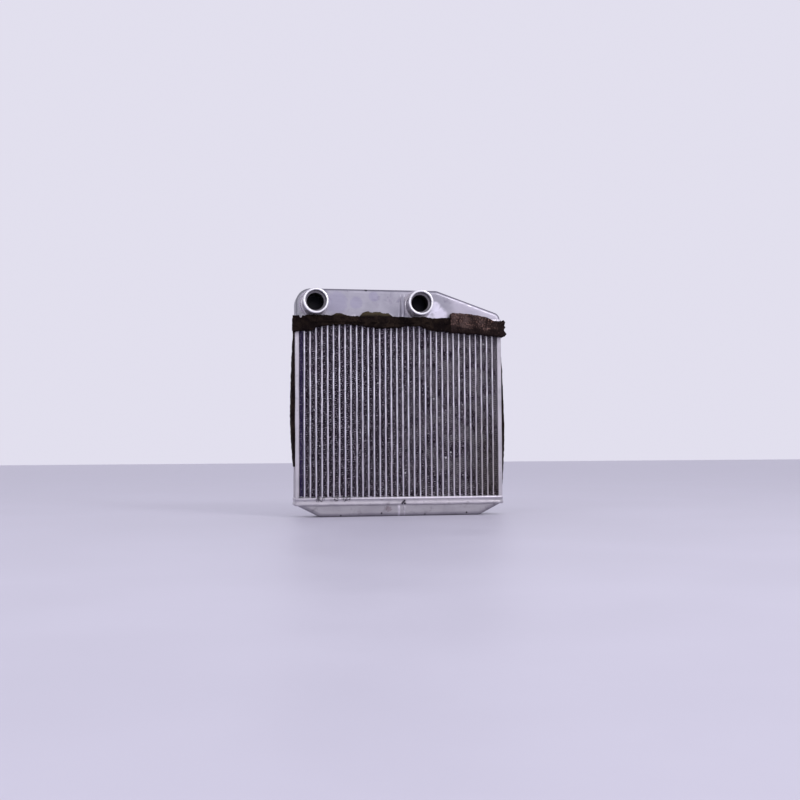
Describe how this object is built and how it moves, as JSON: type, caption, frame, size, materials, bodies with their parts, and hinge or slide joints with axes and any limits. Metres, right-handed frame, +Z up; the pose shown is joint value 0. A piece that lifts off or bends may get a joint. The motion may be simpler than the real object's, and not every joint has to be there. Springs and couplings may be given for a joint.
{
  "type": "heater core",
  "caption": "Brazed aluminium radiator for a car's cabin heater: flat tubes and corrugated fins between two headers, with hose stubs on the top tank and foam seals.",
  "frame": {"origin": "middle of the flat foot under the bottom tank, in the core's middle plane", "axes": "+X across the tubes, +Y through the core away from the stubs, +Z up from the bottom tank to the top tank"},
  "size_m": [0.1967, 0.0528, 0.205],
  "materials": {
    "tube_aluminium": "satin",
    "fin_aluminium": "matte",
    "header_aluminium": "satin",
    "tank_aluminium": "satin",
    "plate_aluminium": "satin",
    "stub_aluminium": "satin",
    "dark_foam": "matte",
    "dirty_foam": "matte"
  },
  "bodies": {
    "root": {"tube_01": "tube_aluminium", "tube_02": "tube_aluminium", "tube_03": "tube_aluminium", "tube_04": "tube_aluminium", "tube_05": "tube_aluminium", "tube_06": "tube_aluminium", "tube_07": "tube_aluminium", "tube_08": "tube_aluminium", "tube_09": "tube_aluminium", "tube_10": "tube_aluminium", "tube_11": "tube_aluminium", "tube_12": "tube_aluminium", "tube_13": "tube_aluminium", "tube_14": "tube_aluminium", "tube_15": "tube_aluminium", "tube_16": "tube_aluminium", "tube_17": "tube_aluminium", "tube_18": "tube_aluminium", "tube_19": "tube_aluminium", "tube_20": "tube_aluminium", "tube_21": "tube_aluminium", "tube_22": "tube_aluminium", "tube_23": "tube_aluminium", "tube_24": "tube_aluminium", "tube_25": "tube_aluminium", "tube_26": "tube_aluminium", "tube_27": "tube_aluminium", "tube_28": "tube_aluminium", "tube_29": "tube_aluminium", "tube_30": "tube_aluminium", "tube_31": "tube_aluminium", "tube_32": "tube_aluminium", "tube_33": "tube_aluminium", "tube_34": "tube_aluminium", "fin_bank_1": "fin_aluminium", "fin_bank_2": "fin_aluminium", "fin_bank_3": "fin_aluminium", "fin_bank_4": "fin_aluminium", "fin_bank_5": "fin_aluminium", "fin_bank_6": "fin_aluminium", "fin_bank_7": "fin_aluminium", "bottom_header": "header_aluminium", "top_header": "header_aluminium", "bottom_tank": "tank_aluminium", "top_tank": "tank_aluminium", "tank_partition": "tank_aluminium", "left_side_plate": "plate_aluminium", "right_side_plate": "plate_aluminium", "left_stub": "stub_aluminium", "right_stub": "stub_aluminium", "front_seal_left": "dark_foam", "back_seal": "dark_foam", "left_end_seal": "dark_foam", "right_end_seal": "dark_foam", "left_side_seal": "dark_foam", "right_side_seal": "dark_foam", "front_seal_right": "dirty_foam"}
  },
  "joints": []
}
